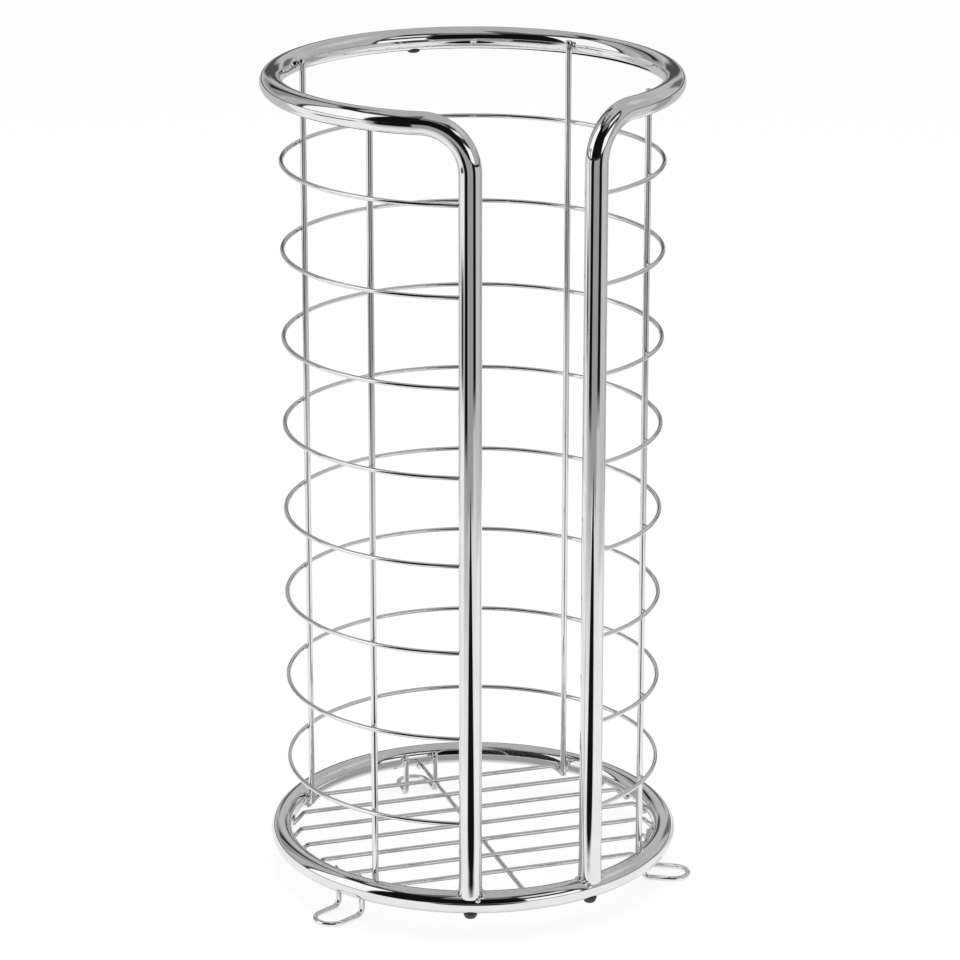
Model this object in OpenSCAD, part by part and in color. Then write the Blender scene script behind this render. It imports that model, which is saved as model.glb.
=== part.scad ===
// Toilet roll storage holder: a chromed cage of tube and wire that stands on the floor and
// keeps a stack of spare rolls, which are taken out through the gap in its front.
// Origin: floor level, on the axis of the two rings. +Z is up and the open front faces -Y.
// An azimuth is measured round that axis from the front, positive towards +X.

/* [Tube frame] */
// Radius of both rings, to the centre of the tube
ring_r = 88; // [84:0.5:110]
// Outside diameter of the tube
tube_d = 10; // [9:0.5:12]
// Wall of the tube
tube_wall = 1; // [0.8:0.1:1.4]
// Height of the base ring's centre above the floor
base_lift = 17.5; // [16:0.5:30]
// Height of the top rail's centre above the base ring's centre
rail_rise = 351; // [250:1:460]
// Azimuth of each of the two uprights beside the front gap
upright_az = 18.5; // [16:0.5:24]
// Radius of the bend where the rail turns down into an upright
upright_bend_r = 21; // [18:1:26]
// Radius of the tighter curve that draws the rail inwards before that bend
tuck_r = 40; // [34:1:50]
// Height of the faint ridge round the tube at each end of a bend
bend_ridge = 0.05; // [0.05:0.01:0.1]

/* [Side wires] */
// Diameter of the four side wires
side_wire_d = 2.8; // [2:0.1:4]
// Azimuth of the front side wires, which the rear ones mirror
side_az = 50; // [48:0.5:53]
// Length of side wire past the centre of each ring
side_overrun = 2.5; // [1:0.5:4]

/* [Hoops] */
// Diameter of the hoop wire
hoop_d = 2; // [1.6:0.1:3]
// Distance from a ring's centre to the nearest hoop's centre
hoop_margin = 35.5; // [25:0.5:45]

/* [Floor grid] */
// Diameter of the floor wires and of the cross wire below them
floor_wire_d = 2; // [1.6:0.1:3]
// Slope of the bent-down ends of these wires, in degrees
dip_angle = 45; // [40:1:55]
// Depth of those ends below the base ring's centre
dip_depth = 5.2; // [4.5:0.1:6]
// Radius of the bends at those ends, to the centre of the wire
dip_bend_r = 2.5; // [2:0.1:3]

/* [Feet] */
// Diameter of the foot wire
foot_wire_d = 2.5; // [2:0.1:3.5]
// Distance between the two legs of a foot
foot_w = 14.5; // [12:0.5:18]
// How far the tip of a foot sticks out past the base ring
foot_reach = 9; // [6:0.5:32]
// Radius of the bend at the bottom of a leg, to the centre of the wire
foot_bend_r = 3.5; // [2.5:0.1:5]
// Length of leg above the base ring's centre
foot_overrun = 1; // [0:0.5:3]

/* [Plugs] */
// Diameter of a plug's button
plug_d = 6.4; // [5.4:0.1:8]
// Depth of the button outside the tube
plug_drop = 2.4; // [1.5:0.1:3]
// Diameter of the vent holes in the tube
vent_d = 4; // [3:0.1:4.5]
// Diameter of the bulb that keeps a plug in its hole
plug_bulb_d = 4.8; // [4.4:0.1:5.6]

/* [Welds] */
// Diameter of the beads beside the foot of each upright
bead_d = 6; // [4:0.5:8]

/* [Clearances] */
// Gap left at a weld, so that the pieces stay separate solids
weld_gap = 0.1; // [0.05:0.05:0.2]
// Gap round a plug's stem and bulb
plug_fit = 0.15; // [0.1:0.05:0.3]
// Gap between a floor wire and the side wire that it passes
side_pass_gap = 0.6; // [0.3:0.1:1]
// Gap between a floor wire and the foot leg that it passes
foot_pass_gap = 0.4; // [0.3:0.1:1]

/* [Hidden] */
HOOPS = 8;
FLOOR_WIRES = 7;

CHROME = "gainsboro";
BRIGHT = "whitesmoke";
RUBBER = "dimgray";
ROUND_SIDES = 36;
BEND_SIDES = 180;
PAST = 1;
QUARTER = 90;
HALF = 180;

bore_d = tube_d - 2 * tube_wall;
rail_z = base_lift + rail_rise;
ring_inner_r = ring_r - tube_d / 2;
hoop_pitch = (rail_rise - 2 * hoop_margin) / (HOOPS - 1);

// The tuck turns by tuck_angle, so that the bend after it lands the upright on the rings'
// circle again. In this frame the rail leaves the circle on the X axis, towards +Y.
tuck_x = ring_r - tuck_r;
tuck_arm = norm([tuck_r, upright_bend_r]);
tuck_heading = acos((pow(ring_r, 2) - pow(tuck_x, 2) - pow(tuck_arm, 2)) / (2 * tuck_x * tuck_arm));
tuck_angle = thousandth(tuck_heading - atan2(upright_bend_r, tuck_r));
upright_at = [tuck_x + tuck_arm * cos(tuck_heading), tuck_arm * sin(tuck_heading)];
rail_end_az = thousandth(upright_az + atan2(upright_at[1], upright_at[0]));

side_r = ring_inner_r - side_wire_d / 2 - weld_gap;
hoop_r = side_r + (side_wire_d + hoop_d) / 2 + weld_gap;

// A hoop's flat end touches the side of the upright with its outer edge.
hoop_outer_r = hoop_r + hoop_d / 2;
upright_seat = tube_d / 2 + weld_gap;
hoop_end_cos = (pow(ring_r, 2) + pow(hoop_outer_r, 2) - pow(upright_seat, 2)) / (2 * ring_r * hoop_outer_r);
hoop_end_az = upright_az + acos(hoop_end_cos);

// The outermost floor wires pass just outside the side wires, and the rest share the width.
floor_half_w = side_r * cos(side_az) + (side_wire_d + floor_wire_d) / 2 + side_pass_gap;
floor_pitch = 2 * floor_half_w / (FLOOR_WIRES - 1);
cross_drop = floor_wire_d + weld_gap;
end_seat = (tube_d + floor_wire_d) / 2 + weld_gap;

// The rear leg of each front foot passes just behind the second floor wire.
leg_r = ring_inner_r - foot_wire_d / 2 - weld_gap;
leg_half_az = asin(foot_w / 2 / leg_r);
pass_y = floor_half_w - floor_pitch - (foot_wire_d + floor_wire_d) / 2 - foot_pass_gap;
foot_az = acos(pass_y / leg_r) - leg_half_az;
foot_tip_r = ring_r + tube_d / 2 + foot_reach;

// Radius of the ball that gives a plug's button its width and its depth
plug_ball_r = (pow(plug_d / 2, 2) + pow(plug_drop, 2)) / (2 * plug_drop);

function thousandth(value) = round(value * 1000) / 1000;

// Turns a child that stands at the front, on the -Y side, round to an azimuth
module at_azimuth(azimuth) {
    rotate([0, 0, azimuth]) children();
}

// A straight stretch of round bar up the Z axis. Its child carries on from the end.
module run(d, length) {
    cylinder(h = length, d = d, $fn = ROUND_SIDES);
    translate([0, 0, length]) children();
}

// A bend of round bar that sets off up the Z axis and turns towards +X. Its child carries on
// from the end.
module bend(d, r, angle) {
    translate([r, 0, 0]) {
        rotate([QUARTER, 0, HALF])
            rotate_extrude(angle = angle, $fn = BEND_SIDES)
                translate([r, 0]) circle(d = d, $fn = ROUND_SIDES);
        rotate([0, angle, 0]) translate([-r, 0, 0]) children();
    }
}

// Turns what follows about the bar's own axis, so that the next bend goes another way
module twist(angle) {
    rotate([0, 0, angle]) children();
}

// The faint ridge round a tube where a bend starts or ends. Its child carries on from it.
module ridge(d) {
    sphere(d = d + 2 * bend_ridge, $fn = ROUND_SIDES);
    children();
}

// A full ring of round bar about the Z axis
module ring_bar(d, z) {
    translate([0, 0, z]) rotate_extrude($fn = BEND_SIDES)
        translate([ring_r, 0]) circle(d = d, $fn = ROUND_SIDES);
}

// The run of the top rail as a solid bar, from one upright's foot to the other's. past is the
// length that it adds at each foot.
module rail_bar(d, past) {
    length = rail_rise - upright_bend_r + past;
    at_azimuth(-upright_az) translate([0, -ring_r, base_lift - past])
        twist(HALF + upright_az - rail_end_az + tuck_angle)
        run(d, length) ridge(d) bend(d, upright_bend_r, QUARTER)
        twist(-QUARTER) ridge(d) bend(d, tuck_r, tuck_angle)
        ridge(d) bend(d, ring_r, 2 * (HALF - rail_end_az))
        ridge(d) bend(d, tuck_r, tuck_angle)
        twist(QUARTER) ridge(d) bend(d, upright_bend_r, QUARTER) ridge(d) run(d, length);
}

// Cuts the seat of the base ring out of its children
module seated_on_base() {
    difference() {
        children();
        ring_bar(tube_d + 2 * weld_gap, base_lift);
    }
}

// Cuts the seats of the uprights out of its children
module seated_on_uprights() {
    difference() {
        children();
        for (side = [-1, 1]) at_azimuth(side * upright_az)
            translate([0, -ring_r, base_lift])
                cylinder(h = rail_rise, d = tube_d + 2 * weld_gap, $fn = ROUND_SIDES);
    }
}

// A vent hole through the underside of a ring, at the front
module vent(ring_z) {
    translate([0, -ring_r, ring_z - tube_d / 2 - PAST])
        cylinder(h = tube_d / 2 + PAST, d = vent_d, $fn = ROUND_SIDES);
}

// The top rail: one tube, bent to a ring that is open at the front, with its ends turned down
// as uprights that are saddle-cut to the base ring
module top_rail() {
    color(CHROME) seated_on_base() difference() {
        rail_bar(tube_d, 0);
        rail_bar(bore_d, PAST);
        at_azimuth(HALF) vent(rail_z);
    }
}

module base_ring() {
    color(CHROME) difference() {
        ring_bar(tube_d, base_lift);
        ring_bar(bore_d, base_lift);
        for (side = [-1, 1]) at_azimuth(side * upright_az) vent(base_lift);
    }
}

// A straight wire that stands against the inside of both rings
module side_wire(azimuth) {
    color(CHROME) at_azimuth(azimuth)
        translate([0, -side_r, base_lift - side_overrun])
            run(side_wire_d, rail_rise + 2 * side_overrun);
}

// A hoop outside the side wires, from one upright to the other. Hoop 1 is the top one.
module hoop(index) {
    z = rail_z - hoop_margin - (index - 1) * hoop_pitch;
    color(CHROME) translate([0, 0, z]) rotate([0, 0, hoop_end_az - QUARTER])
        rotate_extrude(angle = 2 * (HALF - hoop_end_az), $fn = BEND_SIDES)
            translate([hoop_r, 0]) circle(d = hoop_d, $fn = ROUND_SIDES);
}

// Distance from the axis at which a wire bends down, so that its sloping end lies against the
// tube. lean is the cosine of its angle to the ring's radius, and drop its depth below the
// ring's centre.
function bend_radius(lean, drop) =
    let (along = cos(dip_angle) * lean)
    ring_r - (end_seat * norm([sin(dip_angle), along]) - along * drop) / sin(dip_angle);

// A straight wire along X with both ends bent down to the base ring. offset is its distance
// from the middle.
module dipped_wire(offset, drop) {
    lean = cos(asin(offset / ring_inner_r));
    bend_x = sqrt(pow(bend_radius(lean, drop), 2) - pow(offset, 2));
    depth = dip_depth - drop;
    trim = dip_bend_r * tan(dip_angle / 2);
    slope = depth / sin(dip_angle) - trim;
    translate([-bend_x - depth / tan(dip_angle), offset, base_lift - dip_depth])
        rotate([0, QUARTER - dip_angle, 0])
        run(floor_wire_d, slope) bend(floor_wire_d, dip_bend_r, dip_angle)
        run(floor_wire_d, 2 * (bend_x - trim)) bend(floor_wire_d, dip_bend_r, dip_angle)
        run(floor_wire_d, slope);
}

// Floor wire 1 is at the back.
module floor_wire(index) {
    color(CHROME) dipped_wire(floor_half_w - (index - 1) * floor_pitch, 0);
}

// The wire that runs from front to back, under the floor wires
module cross_wire() {
    color(CHROME) rotate([0, 0, QUARTER]) dipped_wire(0, cross_drop);
}

// A foot of bent wire: two legs inside the base ring, and a loop that runs out over the floor
module foot(azimuth) {
    leg_y = leg_r * cos(leg_half_az);
    leg_h = base_lift + foot_overrun - foot_wire_d / 2 - foot_bend_r;
    loop_l = foot_tip_r - (foot_w + foot_wire_d) / 2 - leg_y - foot_bend_r;
    color(CHROME) at_azimuth(azimuth)
        translate([-foot_w / 2, -leg_y, base_lift + foot_overrun])
        rotate([HALF, 0, -QUARTER])
        run(foot_wire_d, leg_h) bend(foot_wire_d, foot_bend_r, QUARTER)
        run(foot_wire_d, loop_l) twist(-QUARTER) bend(foot_wire_d, foot_w / 2, HALF)
        run(foot_wire_d, loop_l) twist(QUARTER) bend(foot_wire_d, foot_bend_r, QUARTER)
        run(foot_wire_d, leg_h);
}

// A rubber plug: a domed button under the tube, and a bulb inside it on a short stem
module plug(azimuth, ring_z) {
    face_z = ring_z - tube_d / 2;
    bulb_z = ring_z - bore_d / 2 + plug_bulb_d / 2 + plug_fit;
    color(RUBBER) at_azimuth(azimuth) {
        difference() {
            translate([0, -ring_r, face_z - plug_drop + plug_ball_r])
                sphere(r = plug_ball_r, $fn = ROUND_SIDES);
            ring_bar(tube_d + 2 * weld_gap, ring_z);
        }
        translate([0, -ring_r, face_z - plug_drop / 2])
            run(vent_d - 2 * plug_fit, bulb_z - face_z + plug_drop / 2)
            sphere(d = plug_bulb_d, $fn = ROUND_SIDES);
    }
}

// Weld beads in the corners between the base ring and the sides of each upright
module upright_welds() {
    color(BRIGHT) seated_on_uprights() seated_on_base()
        for (side = [-1, 1], edge = [-1, 1]) at_azimuth(side * upright_az)
            translate([edge * tube_d / 2, -ring_r, base_lift + tube_d / 2])
                sphere(d = bead_d, $fn = ROUND_SIDES);
}

top_rail();
base_ring();
side_wire(-side_az);  // side_wire_front_left
side_wire(side_az);  // side_wire_front_right
side_wire(HALF + side_az);  // side_wire_rear_left
side_wire(HALF - side_az);  // side_wire_rear_right
for (i = [1:HOOPS])
    hoop(i);
for (i = [1:FLOOR_WIRES])
    floor_wire(i);
cross_wire();
foot(-foot_az);  // foot_left
foot(foot_az);  // foot_right
foot(HALF);  // foot_rear
plug(-upright_az, base_lift);  // plug_left
plug(upright_az, base_lift);  // plug_right
plug(HALF, rail_z);  // plug_rail
upright_welds();
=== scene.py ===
# Looks of the toilet roll storage holder: bright chrome tube and wire, welds and rubber plugs,
# on a white table among the soft panels and dark flags of a product studio.
import math
import bmesh
import bpy
from mathutils import Matrix, Vector, noise


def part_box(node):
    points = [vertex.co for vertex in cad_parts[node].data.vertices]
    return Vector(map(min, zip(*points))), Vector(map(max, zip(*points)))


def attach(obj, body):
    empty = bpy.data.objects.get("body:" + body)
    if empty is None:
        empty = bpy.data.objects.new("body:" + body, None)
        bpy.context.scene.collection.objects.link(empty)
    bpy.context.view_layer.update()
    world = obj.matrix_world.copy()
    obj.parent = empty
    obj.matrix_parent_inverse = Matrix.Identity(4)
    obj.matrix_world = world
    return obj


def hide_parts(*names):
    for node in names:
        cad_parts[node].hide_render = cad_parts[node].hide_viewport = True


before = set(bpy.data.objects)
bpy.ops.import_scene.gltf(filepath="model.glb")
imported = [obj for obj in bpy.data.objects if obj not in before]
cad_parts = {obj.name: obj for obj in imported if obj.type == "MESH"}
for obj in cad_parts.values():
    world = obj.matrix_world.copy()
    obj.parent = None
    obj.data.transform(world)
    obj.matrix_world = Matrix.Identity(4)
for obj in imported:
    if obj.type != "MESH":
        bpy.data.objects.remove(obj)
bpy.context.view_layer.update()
MM = 0.001
RIGHT = Vector((1, 0, 0))
REAR = Vector((0, 1, 0))
UP = Vector((0, 0, 1))

# Sizes that the frame's boxes don't give: bends, slopes and half the width of a foot's loop
UPRIGHT_BEND_R = 21 * MM
TUCK_R = 40 * MM
DIP_ANGLE = math.radians(45)
DIP_BEND_R = 2.5 * MM
FOOT_BEND_R = 3.5 * MM
FOOT_HALF_W = 7.25 * MM
# An upright's foot ends this far above the base ring's middle, and widens over its last part
FOOT_CUT = 2.3 * MM
FOOT_FLARE = 0.3 * MM
FOOT_FLARE_H = 13 * MM
# Height of a plug's button, and the share of it that the flatter plug under the rail has
PLUG_HEAD_H = 2.9 * MM
RAIL_PLUG_SHARE = 0.5


# Sizes taken from the frame
def box_size(node):
    low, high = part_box(node)
    return high - low


def box_centre(node):
    low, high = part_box(node)
    return (low + high) / 2


HOOPS = 8
FLOOR_WIRES = 7
# The side wires, each with the side it stands on: -1 is left and 1 is right
SIDE_WIRES = {"front_left": -1, "front_right": 1, "rear_left": -1, "rear_right": 1}
TUBE_R = box_size("base_ring").z / 2
RING_R = box_size("base_ring").x / 2 - TUBE_R
BASE_Z = box_centre("base_ring").z
RAIL_Z = 2 * box_centre("side_wire_front_left").z - BASE_Z
UPRIGHT_AZ = math.atan2(box_centre("plug_right").x, -box_centre("plug_right").y)
SIDE_WIRE_R = box_size("side_wire_front_left").x / 2
SIDE_R = box_centre("side_wire_front_right").xy.length
SIDE_AZ = math.atan2(box_centre("side_wire_front_right").x, -box_centre("side_wire_front_right").y)
HOOP_WIRE_R = box_size("hoop_1").z / 2
HOOP_R = box_size("hoop_1").x / 2 - HOOP_WIRE_R
HOOP_END_AZ = math.acos(-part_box("hoop_1")[0].y / (HOOP_R + HOOP_WIRE_R))
FLOOR_WIRE_R = box_size("floor_wire_4").y / 2
FOOT_WIRE_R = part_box("foot_rear")[1].x - box_centre("foot_rear").x - FOOT_HALF_W

# How fine the meshes are: facets round a bar, angles between the rings of points in a bend, and
# how many of these a straight, the base ring and a hoop have
TUBE_SIDES = 48
SIDE_WIRE_SIDES = 24
WIRE_SIDES = 20
PLUG_SIDES = 48
UPRIGHT_BEND_STEP = math.radians(3)
TUCK_STEP = math.radians(2)
RING_STEP = math.radians(1.5)
WIRE_BEND_STEP = math.radians(6)
LOOP_STEP = math.radians(5)
UPRIGHT_RINGS = 160
BASE_RINGS = 240
SIDE_WIRE_RINGS = 40
HOOP_RINGS = 220
# The edge round a bar's cut end, as a share of the bar's radius, and the degrees of its rings
EDGE_SHARE = 0.25
EDGE_DEGREES = (0, 30, 60, 90)
# A bar that starts steeper than this, by the rise of its direction, takes its first side from REAR
STEEP = 0.9
# Lumps over the radius of a weld nugget, and the factor that gives each nugget's place its own
LUMP_SCALE = 1.6
LUMP_SPREAD = 2311


# Mesh building
def mesh_piece(name, verts, faces, material):
    mesh = bpy.data.meshes.new(name)
    mesh.from_pydata([tuple(v) for v in verts], [], faces)
    mesh.polygons.foreach_set("use_smooth", [True] * len(mesh.polygons))
    mesh.materials.append(material)
    mesh.update()
    piece = bpy.data.objects.new(name, mesh)
    bpy.context.collection.objects.link(piece)
    return piece


def at(radius, azimuth, z):
    """The point at that distance from the rings' axis. Azimuth 0 is the front, -Y."""
    return Vector((radius * math.sin(azimuth), -radius * math.cos(azimuth), z))


def mirrored(path):
    """The path's mirror image in the plane between left and right, run the other way."""
    return [Vector((-p.x, p.y, p.z)) for p in path[::-1]]


def arc(centre, start, axis, angle, step):
    """Points from start round an axis through centre, start left out."""
    count = max(2, math.ceil(abs(angle) / step))
    return [centre + Matrix.Rotation(angle * i / count, 3, axis) @ (start - centre)
            for i in range(1, count + 1)]


def bent(corners, radius):
    """A path through corners, with a round bend of that radius at each inner one."""
    path = [corners[0]]
    for before, corner, after in zip(corners, corners[1:], corners[2:]):
        come, go = (corner - before).normalized(), (after - corner).normalized()
        turn = come.angle(go)
        start = corner - come * radius * math.tan(turn / 2)
        axis = come.cross(go).normalized()
        path.append(start)
        path += arc(start + axis.cross(come) * radius, start, axis, turn, WIRE_BEND_STEP)
    return path + [corners[-1]]


def ring_frames(path, closed):
    """The direction and one side vector at each point of a path, carried along without twist."""
    count = len(path)
    frames = []
    side = None
    for i, point in enumerate(path):
        before = path[i - 1] if i or closed else point
        after = path[(i + 1) % count] if i + 1 < count or closed else point
        along = ((after - point).normalized() + (point - before).normalized()).normalized()
        if side is None:
            side = along.cross(REAR if abs(along.z) > STEEP else UP)
        side = (side - along * side.dot(along)).normalized()
        frames.append((along, side))
    return frames


def cut_end(point, radius, out, edge):
    """The rings of a bar's cut end, which a small round edge draws in, from the bar outwards."""
    return [(point + out * edge * (math.sin(a) - 1), radius - edge * (1 - math.cos(a)))
            for a in map(math.radians, EDGE_DEGREES)]


def sweep(name, path, radius, material, sides, closed=False, flare=None):
    """A round bar along a path. Its open ends are closed with a small round edge. Where flare is
    given, it says how much thicker the bar is at a point."""
    rings = [(point, radius + (flare(point) if flare else 0)) for point in path]
    frames = ring_frames(path, closed)
    if not closed:
        edge = radius * EDGE_SHARE
        first = cut_end(*rings[0], -frames[0][0], edge)
        last = cut_end(*rings[-1], frames[-1][0], edge)
        rings = first[::-1] + rings[1:-1] + last
        frames = [frames[0]] * len(first) + frames[1:-1] + [frames[-1]] * len(last)
    verts = []
    for (point, r), (along, side) in zip(rings, frames):
        other = along.cross(side)
        for k in range(sides):
            a = 2 * math.pi * k / sides
            verts.append(point + (side * math.cos(a) + other * math.sin(a)) * r)
    count = len(rings)
    faces = []
    for i in range(count if closed else count - 1):
        j = (i + 1) % count
        for k in range(sides):
            n = (k + 1) % sides
            faces.append((i * sides + k, i * sides + n, j * sides + n, j * sides + k))
    if not closed:
        faces.append(tuple(range(sides))[::-1])
        faces.append(tuple((count - 1) * sides + k for k in range(sides)))
    return mesh_piece(name, verts, faces, material)


def lathe(name, profile, origin, material, sides):
    """A shape of revolution about a vertical axis through origin, from (radius, height) pairs
    that begin and end on the axis."""
    # The two ends on the axis come first, and then the rings
    verts = [origin + UP * profile[0][1], origin + UP * profile[-1][1]]
    rings = profile[1:-1]
    for r, z in rings:
        for k in range(sides):
            a = 2 * math.pi * k / sides
            verts.append(origin + Vector((r * math.cos(a), r * math.sin(a), z)))
    faces = []
    for k in range(sides):
        n = (k + 1) % sides
        faces.append((0, 2 + n, 2 + k))
        last = 2 + (len(rings) - 1) * sides
        faces.append((1, last + k, last + n))
        for i in range(len(rings) - 1):
            low, high = 2 + i * sides, 2 + (i + 1) * sides
            faces.append((low + k, low + n, high + n, high + k))
    return mesh_piece(name, verts, faces, material)


def nuggets(name, places, material, roughness):
    """Weld nuggets as one piece. A place is its centre, its three half sizes in mm and the
    directions that the first two lie along."""
    ball = bmesh.new()
    bmesh.ops.create_icosphere(ball, subdivisions=3, radius=1)
    verts, faces = [], []
    for centre, half_sizes, first, second in places:
        a, b, c = (half * MM for half in half_sizes)
        x = first.normalized()
        z = x.cross(second).normalized()
        y = z.cross(x)
        start = len(verts)
        for v in ball.verts:
            co = v.co * (1 + roughness * noise.noise(v.co * LUMP_SCALE + centre * LUMP_SPREAD))
            verts.append(centre + x * co.x * a + y * co.y * b + z * co.z * c)
        faces += [tuple(start + v.index for v in f.verts) for f in ball.faces]
    ball.free()
    return mesh_piece(name, verts, faces, material)


# Materials, whose noises are spread over this middle part of their range
NOISE_LOW = 0.3
NOISE_HIGH = 0.7


def new_material(name, colour, metallic, roughness):
    material = bpy.data.materials.new(name)
    material.use_nodes = True
    shader = material.node_tree.nodes["Principled BSDF"]
    shader.inputs["Base Color"].default_value = (*colour, 1)
    shader.inputs["Metallic"].default_value = metallic
    shader.inputs["Roughness"].default_value = roughness
    return material, material.node_tree, shader


def noise_node(tree, scale, detail):
    coords = tree.nodes.new("ShaderNodeTexCoord")
    texture = tree.nodes.new("ShaderNodeTexNoise")
    texture.inputs["Scale"].default_value = scale
    texture.inputs["Detail"].default_value = detail
    tree.links.new(coords.outputs["Object"], texture.inputs["Vector"])
    return texture.outputs["Fac"]


def ramp_node(tree, source, low, high):
    """Turns a noise into a value between low and high."""
    ranged = tree.nodes.new("ShaderNodeMapRange")
    ranged.inputs["From Min"].default_value = NOISE_LOW
    ranged.inputs["From Max"].default_value = NOISE_HIGH
    ranged.inputs["To Min"].default_value = low
    ranged.inputs["To Max"].default_value = high
    tree.links.new(source, ranged.inputs["Value"])
    return ranged.outputs["Result"]


def tint_node(tree, source, dark, light):
    """Turns a noise into a colour between dark and light."""
    ramp = tree.nodes.new("ShaderNodeValToRGB")
    stops = ramp.color_ramp.elements
    for stop, position, colour in zip(stops, (NOISE_LOW, NOISE_HIGH), (dark, light)):
        stop.position = position
        stop.color = (*colour, 1)
    tree.links.new(source, ramp.inputs["Fac"])
    return ramp.outputs["Color"]


def bump_chain(tree, shader, layers):
    """Stacks bumps of (height source, strength, depth in metres) under the shader's normal."""
    normal = None
    for source, strength, depth in layers:
        bump = tree.nodes.new("ShaderNodeBump")
        bump.inputs["Strength"].default_value = strength
        bump.inputs["Distance"].default_value = depth
        tree.links.new(source, bump.inputs["Height"])
        if normal is not None:
            tree.links.new(normal, bump.inputs["Normal"])
        normal = bump.outputs["Normal"]
    tree.links.new(normal, shader.inputs["Normal"])


def chrome(name, ripple, grain, rough):
    """Bright plating: a slow ripple under it, a fine grain, and faint haze in patches. The depths
    of ripple and grain are in metres."""
    material, tree, shader = new_material(name, (0.86, 0.865, 0.87), metallic=1, roughness=rough)
    haze = noise_node(tree, scale=130, detail=4)
    patches = noise_node(tree, scale=45, detail=3)
    slow = noise_node(tree, scale=70, detail=2)
    fine = noise_node(tree, scale=1500, detail=2)
    hazed = ramp_node(tree, haze, low=rough * 0.6, high=rough * 1.7)
    tree.links.new(hazed, shader.inputs["Roughness"])
    tint = tint_node(tree, patches, dark=(0.83, 0.835, 0.845), light=(0.89, 0.89, 0.89))
    tree.links.new(tint, shader.inputs["Base Color"])
    bump_chain(tree, shader, [(slow, 1, ripple), (fine, 1, grain)])
    return material


def rubber(name):
    """Black moulded rubber with a fine matt skin and a little dust."""
    material, tree, shader = new_material(name, (0.05, 0.05, 0.05), metallic=0, roughness=0.6)
    shader.inputs["Specular IOR Level"].default_value = 0.35
    dust = noise_node(tree, scale=700, detail=5)
    haze = noise_node(tree, scale=900, detail=3)
    skin = noise_node(tree, scale=2500, detail=4)
    tint = tint_node(tree, dust, dark=(0.03, 0.03, 0.031), light=(0.065, 0.065, 0.067))
    tree.links.new(tint, shader.inputs["Base Color"])
    tree.links.new(ramp_node(tree, haze, low=0.5, high=0.75), shader.inputs["Roughness"])
    bump_chain(tree, shader, [(skin, 0.5, 0.06 * MM)])
    return material


TUBE_CHROME = chrome("tube_chrome", ripple=0.020 * MM, grain=0.0004 * MM, rough=0.035)
WIRE_CHROME = chrome("wire_chrome", ripple=0.006 * MM, grain=0.0004 * MM, rough=0.05)
WELD_CHROME = chrome("weld_chrome", ripple=0.15 * MM, grain=0.008 * MM, rough=0.17)
RUBBER = rubber("plug_rubber")


# The camera: what it aims at, where it stands, its lens in pixels of the frame, and the column of
# the frame that the object's axis is in
AIM = Vector((0.0, 0.0, 0.1848))
CAMERA_AZ = math.radians(-17.86)
CAMERA_EL = math.radians(18.14)
CAMERA_DISTANCE = 1.8
FRAME_SIDE = 960
FOCAL_PIXELS = 4003
AXIS_COLUMN = 472.7


def from_camera(azimuth, elevation, distance=1):
    """The point at that distance from the origin, with azimuths counted from the camera's and both
    angles in degrees."""
    e = math.radians(elevation)
    return at(distance * math.cos(e), CAMERA_AZ + math.radians(azimuth), distance * math.sin(e))


def add_camera():
    data = bpy.data.cameras.new("camera")
    data.sensor_width = 36
    data.lens = FOCAL_PIXELS / FRAME_SIDE * data.sensor_width
    data.shift_x = 0.5 - AXIS_COLUMN / FRAME_SIDE
    data.clip_start = 0.05
    data.clip_end = 50
    camera = bpy.data.objects.new("camera", data)
    bpy.context.collection.objects.link(camera)
    back = at(math.cos(CAMERA_EL), CAMERA_AZ, math.sin(CAMERA_EL))
    camera.location = AIM + back * CAMERA_DISTANCE
    camera.rotation_euler = (-back).to_track_quat("-Z", "Y").to_euler()
    bpy.context.scene.camera = camera


# Studio
def smooth(x):
    """A soft step: 0 up to x = 0, and 1 from x = 1."""
    x = max(0, min(1, x))
    return x * x * (3 - 2 * x)


def within(value, low, high, soft):
    """1 between low and high and 0 outside, with soft edges."""
    return smooth((value - low) / soft + 0.5) * smooth((high - value) / soft + 0.5)


def within_turn(azimuth, low, high, soft):
    """The same for an azimuth in degrees, on whichever turn the two limits lie."""
    return max(within(azimuth + turn, low, high, soft) for turn in (-360, 0, 360))


# The studio dome glows at one level, with panels and flags on it: azimuths from the camera's and
# elevations, level, and softness, the angles in degrees
DOME_R = 6.0
DOME_LEVEL = 0.47
DOME_PANELS = [
    ((120, 240), (-10, 34), 0.53, 10),
    ((166, 196), (8, 19), 0.08, 5),
    ((144, 158), (6, 24), 0.15, 6),
    ((-160, -126), (10, 42), 0.30, 9),
    ((92, 128), (36, 60), 0.62, 10),
    ((-106, -54), (-10, 64), 0.03, 3),
    ((-101, -59), (-10, 60), 1.10, 2),
    ((25, 65), (-10, 62), 0.04, 3),
    ((29, 61), (-10, 22), 1.10, 2),
    ((30, 60), (36, 47), 0.90, 3),
    ((-60, -20), (58, 82), 0.12, 4),
    ((-56, 27), (2, 60), 0.006, 3),
    ((-20, 27), (46, 58), 0.20, 3),
    ((-153, -143), (18, 59), 0.02, 2),
    ((-153, -58), (53, 60), 0.02, 2),
    ((-180, 180), (-9, 3.2), 0.02, 1.5),
]
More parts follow.
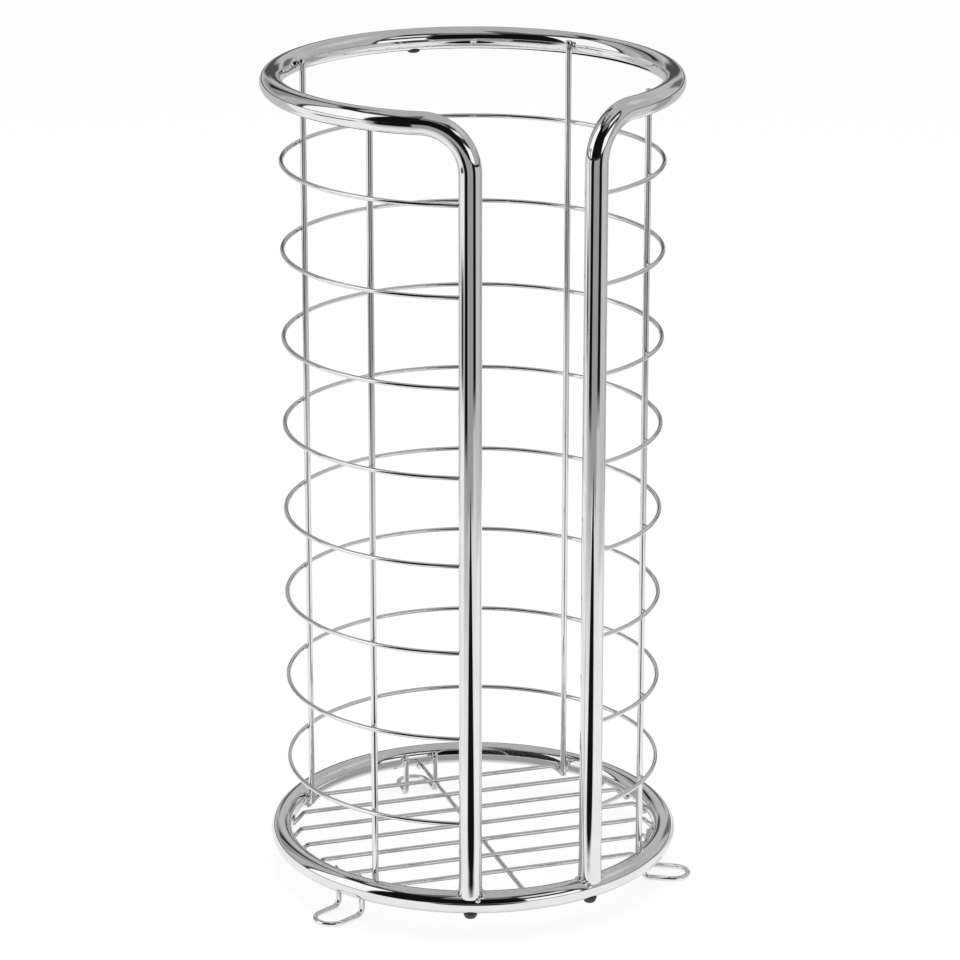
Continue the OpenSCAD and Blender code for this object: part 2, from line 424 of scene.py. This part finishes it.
# The same on the table, with distances from the object's axis in metres in place of elevations,
# and last how softly a panel starts and ends there
TABLE_LEVEL = 0.93
TABLE_PANELS = [
    ((56, 246), (0.55, 9), 0.58, 8, 0.10),
    ((104, 128), (0.05, 0.70), 0.66, 6, 0.04),
    ((114, 132), (0.60, 9), 0.36, 6, 0.08),
    ((-93, -64), (0.85, 1.17), 0.04, 6, 0.12),
    ((-58, -14), (0.50, 9), 0.36, 8, 0.60),
    ((14, 60), (0.62, 9), 0.57, 8, 0.60),
    ((-25, 25), (0.67, 9), 0.35, 3, 0.08),
    ((-53, -25), (0.77, 9), 0.006, 3, 0.08),
    ((25, 51), (0.87, 9), 0.006, 3, 0.09),
]
# Oval cards on the table, a black one towards the camera and a black one behind, and a grey oval of
# painted shade under the object, which the metal sees in place of the object's shadow on the table:
# middle and half sizes, each across and ahead in metres, and level
OVAL_CARDS_AND_PAINTED_SHADE = [
    ((0.012, 0.432), (0.126, 0.285), 0.006),
    ((-0.10, -0.52), (0.12, 0.26), 0.006),
    # Painted shade: the grey oval darkens the table under the object, as the metal sees it
    ((0.0, 0.0), (0.084, 0.084), 0.35),
]
# How soft an oval's edge is, as a share of its size
OVAL_SOFT = 0.12
# Where the glowing sheets have their points. On the table these lie at even steps from HOLE_R to
# INNER_R, and then each further out than the last by a share, up to the dome's foot.
SHEET_AZIMUTHS = range(-180, 181, 2)
DOME_ELEVATIONS = range(0, 91)
HOLE_R = 0.006
INNER_R = 0.12
INNER_RINGS = 10
OUTER_RINGS = 74
RING_GROWTH = 1.055
TABLE_DISTANCES = [HOLE_R + (INNER_R - HOLE_R) * j / INNER_RINGS for j in range(INNER_RINGS)]
TABLE_DISTANCES += [INNER_R * RING_GROWTH ** j for j in range(OUTER_RINGS)]
TABLE_SHEET_Z = 0.5 * MM


def dome_level(azimuth, elevation):
    level = DOME_LEVEL
    for azimuths, elevations, panel, soft in DOME_PANELS:
        share = within_turn(azimuth, *azimuths, soft) * within(elevation, *elevations, soft)
        level += (panel - level) * share
    return level


def table_level(azimuth, distance):
    level = TABLE_LEVEL
    for azimuths, distances, panel, soft, fade in TABLE_PANELS:
        share = within_turn(azimuth, *azimuths, soft) * within(distance, *distances, fade)
        level += (panel - level) * share
    across = distance * math.sin(math.radians(azimuth))
    ahead = distance * math.cos(math.radians(azimuth))
    # The ovals are black cards, and the painted shade under the object
    for (x, y), (half_x, half_y), oval in OVAL_CARDS_AND_PAINTED_SHADE:
        reach = math.hypot((across - x) / half_x, (ahead - y) / half_y)
        level += (oval - level) * smooth((1 - reach) / OVAL_SOFT + 0.5)
    return level


def dome_point(azimuth, elevation):
    return from_camera(azimuth, elevation, DOME_R)


def table_point(azimuth, distance):
    return at(distance, CAMERA_AZ + math.radians(azimuth), TABLE_SHEET_Z)


def glow_material(name):
    """Glows by the level that each point of the mesh carries."""
    material = bpy.data.materials.new(name)
    material.use_nodes = True
    tree = material.node_tree
    tree.nodes.remove(tree.nodes["Principled BSDF"])
    attribute = tree.nodes.new("ShaderNodeAttribute")
    attribute.attribute_name = "level"
    glow = tree.nodes.new("ShaderNodeEmission")
    tree.links.new(attribute.outputs["Fac"], glow.inputs["Strength"])
    tree.links.new(glow.outputs["Emission"], tree.nodes["Material Output"].inputs["Surface"])
    return material


def add_glow_sheet(name, place, level, columns):
    """A stage sheet with a row of points at each azimuth, one in each column. Two functions, place
    and level, give a point's place and glow. The sheet is seen in the metal alone, and throws no
    light or shade."""
    spots = [(azimuth, column) for azimuth in SHEET_AZIMUTHS for column in columns]
    width = len(columns)
    faces = [(i * width + j, (i + 1) * width + j, (i + 1) * width + j + 1, i * width + j + 1)
             for i in range(len(SHEET_AZIMUTHS) - 1) for j in range(width - 1)]
    sheet = mesh_piece(name, [place(*spot) for spot in spots], faces, glow_material(name + "_glow"))
    levels = sheet.data.attributes.new("level", "FLOAT", "POINT")
    levels.data.foreach_set("value", [level(*spot) for spot in spots])
    sheet.visible_camera = False
    sheet.visible_diffuse = False
    sheet.visible_shadow = False
    sheet.visible_transmission = False
    sheet.visible_volume_scatter = False


def white_to_eye(tree, lit, share):
    """Mixes the lit shader with one that the caller links to the mix. The rays that see the
    background itself, in the picture and in metal, get this share of the second one."""
    path = tree.nodes.new("ShaderNodeLightPath")
    seen = path.outputs["Is Camera Ray"]
    for key in ("Is Glossy Ray", "Is Transmission Ray"):
        add = tree.nodes.new("ShaderNodeMath")
        add.operation = "MAXIMUM"
        tree.links.new(seen, add.inputs[0])
        tree.links.new(path.outputs[key], add.inputs[1])
        seen = add.outputs[0]
    scaled = tree.nodes.new("ShaderNodeMath")
    scaled.operation = "MULTIPLY"
    scaled.inputs[1].default_value = share
    tree.links.new(seen, scaled.inputs[0])
    mix = tree.nodes.new("ShaderNodeMixShader")
    tree.links.new(scaled.outputs[0], mix.inputs[0])
    tree.links.new(lit, mix.inputs[1])
    return mix


def add_table():
    """A wide white table top. Most of its white is its own, so that the shadow on it stays soft."""
    half_side = 12
    own_white = 0.84
    material, tree, shader = new_material("table_white", (0.9, 0.9, 0.9), metallic=0, roughness=1)
    shader.inputs["Specular IOR Level"].default_value = 0
    mix = white_to_eye(tree, shader.outputs["BSDF"], own_white)
    glow = tree.nodes.new("ShaderNodeEmission")
    tree.links.new(glow.outputs["Emission"], mix.inputs[2])
    tree.links.new(mix.outputs[0], tree.nodes["Material Output"].inputs["Surface"])
    corners = [Vector((x, y, 0)) * half_side for x, y in ((-1, -1), (1, -1), (1, 1), (-1, 1))]
    table = mesh_piece("table_top", corners, [(0, 1, 2, 3)], material)


def add_world():
    """White light from all round, and plain white where it is seen."""
    world = bpy.data.worlds.new("studio")
    world.use_nodes = True
    tree = world.node_tree
    lit = tree.nodes["Background"]
    lit.inputs["Color"].default_value = (1, 1, 1, 1)
    lit.inputs["Strength"].default_value = 0.9
    mix = white_to_eye(tree, lit.outputs["Background"], 1)
    white = tree.nodes.new("ShaderNodeBackground")
    white.inputs["Color"].default_value = (1, 1, 1, 1)
    tree.links.new(white.outputs["Background"], mix.inputs[2])
    tree.links.new(mix.outputs[0], tree.nodes["World Output"].inputs["Surface"])
    bpy.context.scene.world = world


def add_lamp(name, azimuth, elevation, distance, size, watts):
    """A round softbox that lights the object and isn't seen in the metal."""
    data = bpy.data.lights.new(name, "AREA")
    data.shape = "DISK"
    data.size = size
    data.energy = watts
    lamp = bpy.data.objects.new(name, data)
    back = from_camera(azimuth, elevation)
    lamp.location = AIM + back * distance
    lamp.rotation_euler = (-back).to_track_quat("-Z", "Y").to_euler()
    lamp.visible_glossy = False
    bpy.context.collection.objects.link(lamp)


def add_studio():
    add_world()
    add_table()
    add_lamp("top_softbox", azimuth=20, elevation=78, distance=1.6, size=1.4, watts=13)
    add_lamp("side_softbox", azimuth=-70, elevation=35, distance=1.6, size=1.0, watts=5)
    add_glow_sheet("studio_panels", dome_point, dome_level, DOME_ELEVATIONS)
    # The table's sheet holds the black cards and the painted shade under the object
    add_glow_sheet("studio_table_cards_and_painted_shade", table_point, table_level, TABLE_DISTANCES)


# The pieces
def fit(piece, nodes):
    """The piece stands for these nodes, which it hides, and rides on the one body."""
    for node in nodes:
        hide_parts(node)
    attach(piece, "root")


def add_wire(name, path, radius, sides, node):
    """A wire along a path, in its node's place."""
    fit(sweep(name, path, radius, WIRE_CHROME, sides), [node])


def rail_path():
    """From the left upright's foot up, round the back and down to the right upright's foot."""
    # The triangle of the rings' axis, the tuck bend's centre and the upright gives the tuck's
    # turn and the azimuth where it leaves the ring
    tuck_x = RING_R - TUCK_R
    tuck_arm = math.hypot(TUCK_R, UPRIGHT_BEND_R)
    heading = math.acos((RING_R ** 2 - tuck_x ** 2 - tuck_arm ** 2) / (2 * tuck_x * tuck_arm))
    tuck_angle = heading - math.atan2(UPRIGHT_BEND_R, TUCK_R)
    end_az = UPRIGHT_AZ + math.atan2(tuck_arm * math.sin(heading), tuck_x + tuck_arm * math.cos(heading))
    foot = at(RING_R, -UPRIGHT_AZ, BASE_Z + FOOT_CUT)
    inwards = -at(1, tuck_angle - end_az + math.pi / 2, 0)
    top = at(RING_R, -UPRIGHT_AZ, RAIL_Z - UPRIGHT_BEND_R)
    half = [foot.lerp(top, i / UPRIGHT_RINGS) for i in range(UPRIGHT_RINGS + 1)]
    bend_centre = top + inwards * UPRIGHT_BEND_R
    half += arc(bend_centre, top, UP.cross(inwards), math.pi / 2, UPRIGHT_BEND_STEP)
    half += arc(at(tuck_x, -end_az, RAIL_Z), half[-1], UP, -tuck_angle, TUCK_STEP)
    back = arc(Vector((0, 0, RAIL_Z)), half[-1], UP, -2 * (math.pi - end_az), RING_STEP)
    return half + back[:-1] + mirrored(half)


def foot_flare(point):
    share = 1 - (point.z - BASE_Z - FOOT_CUT) / FOOT_FLARE_H
    return FOOT_FLARE * smooth(share)


def add_tubes():
    rail = sweep("tube_rail", rail_path(), TUBE_R, TUBE_CHROME, TUBE_SIDES, flare=foot_flare)
    fit(rail, ["top_rail"])
    circle = [at(RING_R, math.radians(360 * i / BASE_RINGS), BASE_Z) for i in range(BASE_RINGS)]
    base = sweep("tube_base", circle, TUBE_R, TUBE_CHROME, TUBE_SIDES, closed=True)
    fit(base, ["base_ring"])


def side_azimuth(place):
    return SIDE_WIRES[place] * (SIDE_AZ if place.startswith("front") else math.pi - SIDE_AZ)


def add_side_wires():
    for place in SIDE_WIRES:
        node = "side_wire_" + place
        low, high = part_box(node)
        foot = at(SIDE_R, side_azimuth(place), low.z)
        top = foot + UP * (high.z - low.z)
        path = [foot.lerp(top, i / SIDE_WIRE_RINGS) for i in range(SIDE_WIRE_RINGS + 1)]
        add_wire("straight_wire_" + place, path, SIDE_WIRE_R, SIDE_WIRE_SIDES, node)


def add_hoops():
    turn = 2 * (math.pi - HOOP_END_AZ)
    for index in range(1, HOOPS + 1):
        node = f"hoop_{index}"
        z = box_centre(node).z
        path = [at(HOOP_R, HOOP_END_AZ + turn * i / HOOP_RINGS, z) for i in range(HOOP_RINGS + 1)]
        add_wire("round_" + node, path, HOOP_WIRE_R, WIRE_SIDES, node)


def dipped_path(node, along, across):
    """A wire with both ends bent down, from the node's own box."""
    low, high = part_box(node)
    top = high.z - FLOOR_WIRE_R
    reach = (high - low).dot(along) / 2 - FLOOR_WIRE_R * math.sin(DIP_ANGLE)
    drop = (high.z - low.z) - FLOOR_WIRE_R - FLOOR_WIRE_R * math.cos(DIP_ANGLE)
    middle = across * box_centre(node).dot(across)
    end_z = UP * (top - drop)
    bend = reach - drop / math.tan(DIP_ANGLE)
    return bent([middle - along * reach + end_z, middle - along * bend + UP * top,
                 middle + along * bend + UP * top, middle + along * reach + end_z], DIP_BEND_R)


def add_floor():
    for index in range(1, FLOOR_WIRES + 1):
        node = f"floor_wire_{index}"
        add_wire(f"grid_wire_{index}", dipped_path(node, RIGHT, REAR), FLOOR_WIRE_R, WIRE_SIDES, node)
    cross_path = dipped_path("cross_wire", REAR, RIGHT)
    add_wire("grid_wire_across", cross_path, FLOOR_WIRE_R, WIRE_SIDES, "cross_wire")


def foot_path(azimuth, leg_top):
    """Down one leg, out over the table, round the loop and back up the other leg."""
    low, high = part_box("foot_rear")
    inner = low.y + FOOT_WIRE_R
    loop = high.y - FOOT_WIRE_R - FOOT_HALF_W
    z = low.z + FOOT_WIRE_R
    turn = Matrix.Rotation(azimuth - math.pi, 3, "Z")
    corners = [(inner, leg_top), (inner, z), (loop, z)]
    leg = bent([Vector((FOOT_HALF_W, out, up)) for out, up in corners], FOOT_BEND_R)
    path = leg + arc(Vector((0, loop, z)), leg[-1], UP, math.pi, LOOP_STEP) + mirrored(leg)[1:]
    return [turn @ p for p in path]


def foot_azimuths():
    """The feet's nodes, each with its azimuth."""
    centre = box_centre("foot_right")
    azimuth = math.atan2(centre.x, -centre.y)
    return {"foot_left": -azimuth, "foot_right": azimuth, "foot_rear": math.pi}


def add_feet():
    for node, azimuth in foot_azimuths().items():
        path = foot_path(azimuth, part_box(node)[1].z)
        add_wire("looped_" + node, path, FOOT_WIRE_R, WIRE_SIDES, node)


# A plug's outline from its underside up: the button, in shares of its radius and its height, then
# the stem and the bulb, in shares of the radius and mm down from the tip
PLUG_BUTTON = [(0, 0.03), (0.3, 0.02), (0.55, 0), (0.66, 0.03), (0.74, 0.10), (0.84, 0.28),
               (0.93, 0.52), (0.98, 0.72), (0.995, 0.86), (0.94, 0.97), (0.6, 1)]
PLUG_BULB = [(0.57, 4.4), (0.72, 3.4), (0.74, 2.4), (0.6, 1.0), (0.3, 0.2), (0, 0)]


def add_plugs():
    """Push-in plugs: a tapered button outside, a stem and a bulb inside the tube."""
    for node, share in (("plug_left", 1), ("plug_right", 1), ("plug_rail", RAIL_PLUG_SHARE)):
        low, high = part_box(node)
        low.z += PLUG_HEAD_H * (1 - share)
        r = (high.x - low.x) / 2
        h = high.z - low.z
        profile = [(r * across, PLUG_HEAD_H * share * up) for across, up in PLUG_BUTTON]
        profile += [(r * across, h - down * MM) for across, down in PLUG_BULB]
        origin = Vector(((low.x + high.x) / 2, (low.y + high.y) / 2, low.z))
        fit(lathe("button_" + node, profile, origin, RUBBER, PLUG_SIDES), [node])


# Half sizes of the weld nuggets in mm: along the two directions of their places, and across both
HOOP_CROSSING = (1.2, 1.2, 0.7)
RING_CROSSING = (0.9, 1.3, 0.6)
HOOP_END = (1.5, 1.25, 1.25)
FLOOR_CROSSING = (1.3, 1.3, 0.7)
FLOOR_END = (1.3, 1.2, 1.3)
FOOT_LEG = (1.5, 2.4, 1.1)
# How far a hoop's nugget lies from the upright towards the hoop's end, as a share of the gap
HOOP_END_SHARE = 0.3
# Where a floor wire's nuggets lie, in from its ends and up from its lowest point, and how far
# above the base ring's middle those of the feet lie
FLOOR_END_IN = 0.4 * MM
FLOOR_END_UP = 1.2 * MM
FOOT_LEG_UP = 1.2 * MM
# Lumps of weld at an upright's foot, in mm: towards the front gap, outwards, up, and half sizes
FOOT_LUMPS = [
    (4.4, 2.7, 3.5, (1.9, 1.5, 1.3)),
    (5.4, 1.5, 4.3, (1.5, 1.9, 1.2)),
    (3.4, 4.1, 2.4, (1.1, 1.1, 1.2)),
    (5.0, -0.6, 4.9, (1.3, 1.6, 1.0)),
    (4.7, -2.8, 4.0, (1.1, 1.3, 1.0)),
    (-4.7, 2.6, 3.6, (1.3, 1.2, 1.0)),
    (-5.3, 0.6, 4.6, (1.1, 1.6, 1.0)),
    (-5.0, -2.0, 4.3, (1.1, 1.3, 0.9)),
    (0.4, -4.6, 2.6, (2.2, 0.9, 0.8)),
]
# How uneven the nuggets and the lumps are
NUGGET_ROUGHNESS = 0.16
LUMP_ROUGHNESS = 0.35


def side_wire_places():
    """Where the side wires cross the hoops and stand in the rings."""
    places = []
    joint_r = SIDE_R + SIDE_WIRE_R
    for azimuth in map(side_azimuth, SIDE_WIRES):
        across = at(1, azimuth + math.pi / 2, 0)
        for index in range(1, HOOPS + 1):
            z = box_centre(f"hoop_{index}").z
            places.append((at(joint_r, azimuth, z), HOOP_CROSSING, across, UP))
        for z in (BASE_Z, RAIL_Z):
            places.append((at(joint_r, azimuth, z), RING_CROSSING, across, UP))
    return places


def hoop_end_places():
    """Where the hoops end at the uprights."""
    places = []
    for index in range(1, HOOPS + 1):
        z = box_centre(f"hoop_{index}").z
        for side in (-1, 1):
            end = at(HOOP_R, side * HOOP_END_AZ, z)
            tube = at(RING_R, side * UPRIGHT_AZ, z)
            touch = tube + (end - tube).normalized() * TUBE_R
            places.append((touch.lerp(end, HOOP_END_SHARE), HOOP_END, end - touch, UP))
    return places


def floor_places():
    """Where the floor wires lie on the cross wire, and where they all end at the base ring."""
    places = []
    cross_low, cross_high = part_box("cross_wire")
    for index in range(1, FLOOR_WIRES + 1):
        low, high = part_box(f"floor_wire_{index}")
        y = (low.y + high.y) / 2
        places.append((Vector((0, y, cross_high.z)), FLOOR_CROSSING, RIGHT, REAR))
        for x in (low.x + FLOOR_END_IN, high.x - FLOOR_END_IN):
            places.append((Vector((x, y, low.z + FLOOR_END_UP)), FLOOR_END, Vector((x, y, 0)), UP))
    for y in (cross_low.y + FLOOR_END_IN, cross_high.y - FLOOR_END_IN):
        places.append((Vector((0, y, cross_low.z + FLOOR_END_UP)), FLOOR_END, Vector((0, y, 0)), UP))
    return places


def foot_places():
    """Where the feet's legs stand against the inside of the base ring."""
    places = []
    for azimuth in foot_azimuths().values():
        path = foot_path(azimuth, BASE_Z)
        for leg in (path[0], path[-1]):
            out = Vector((leg.x, leg.y, 0)).normalized()
            touch = leg + out * FOOT_WIRE_R
            touch.z = BASE_Z + FOOT_LEG_UP
            places.append((touch, FOOT_LEG, out.cross(UP), UP))
    return places


def upright_foot_places():
    """The lumps round the uprights' feet, mirrored from one side to the other."""
    places = []
    for side in (-1, 1):
        along = at(1, side * UPRIGHT_AZ + math.pi / 2, 0)
        out = at(1, side * UPRIGHT_AZ, 0)
        foot = at(RING_R, side * UPRIGHT_AZ, BASE_Z)
        for gapwards, outwards, rise, size in FOOT_LUMPS:
            centre = foot + (along * -side * gapwards + out * outwards + UP * rise) * MM
            places.append((centre, size, along, UP + out))
    return places


def add_welds():
    for name, places in (("side_wire_welds", side_wire_places()), ("hoop_end_welds", hoop_end_places()),
                         ("floor_welds", floor_places()), ("foot_welds", foot_places())):
        fit(nuggets(name, places, WELD_CHROME, NUGGET_ROUGHNESS), [])
    lumps = nuggets("upright_foot_welds", upright_foot_places(), WELD_CHROME, LUMP_ROUGHNESS)
    fit(lumps, ["upright_welds"])


bpy.context.scene.view_settings.view_transform = "Standard"
add_camera()
add_studio()
add_tubes()
add_side_wires()
add_hoops()
add_floor()
add_feet()
add_plugs()
add_welds()
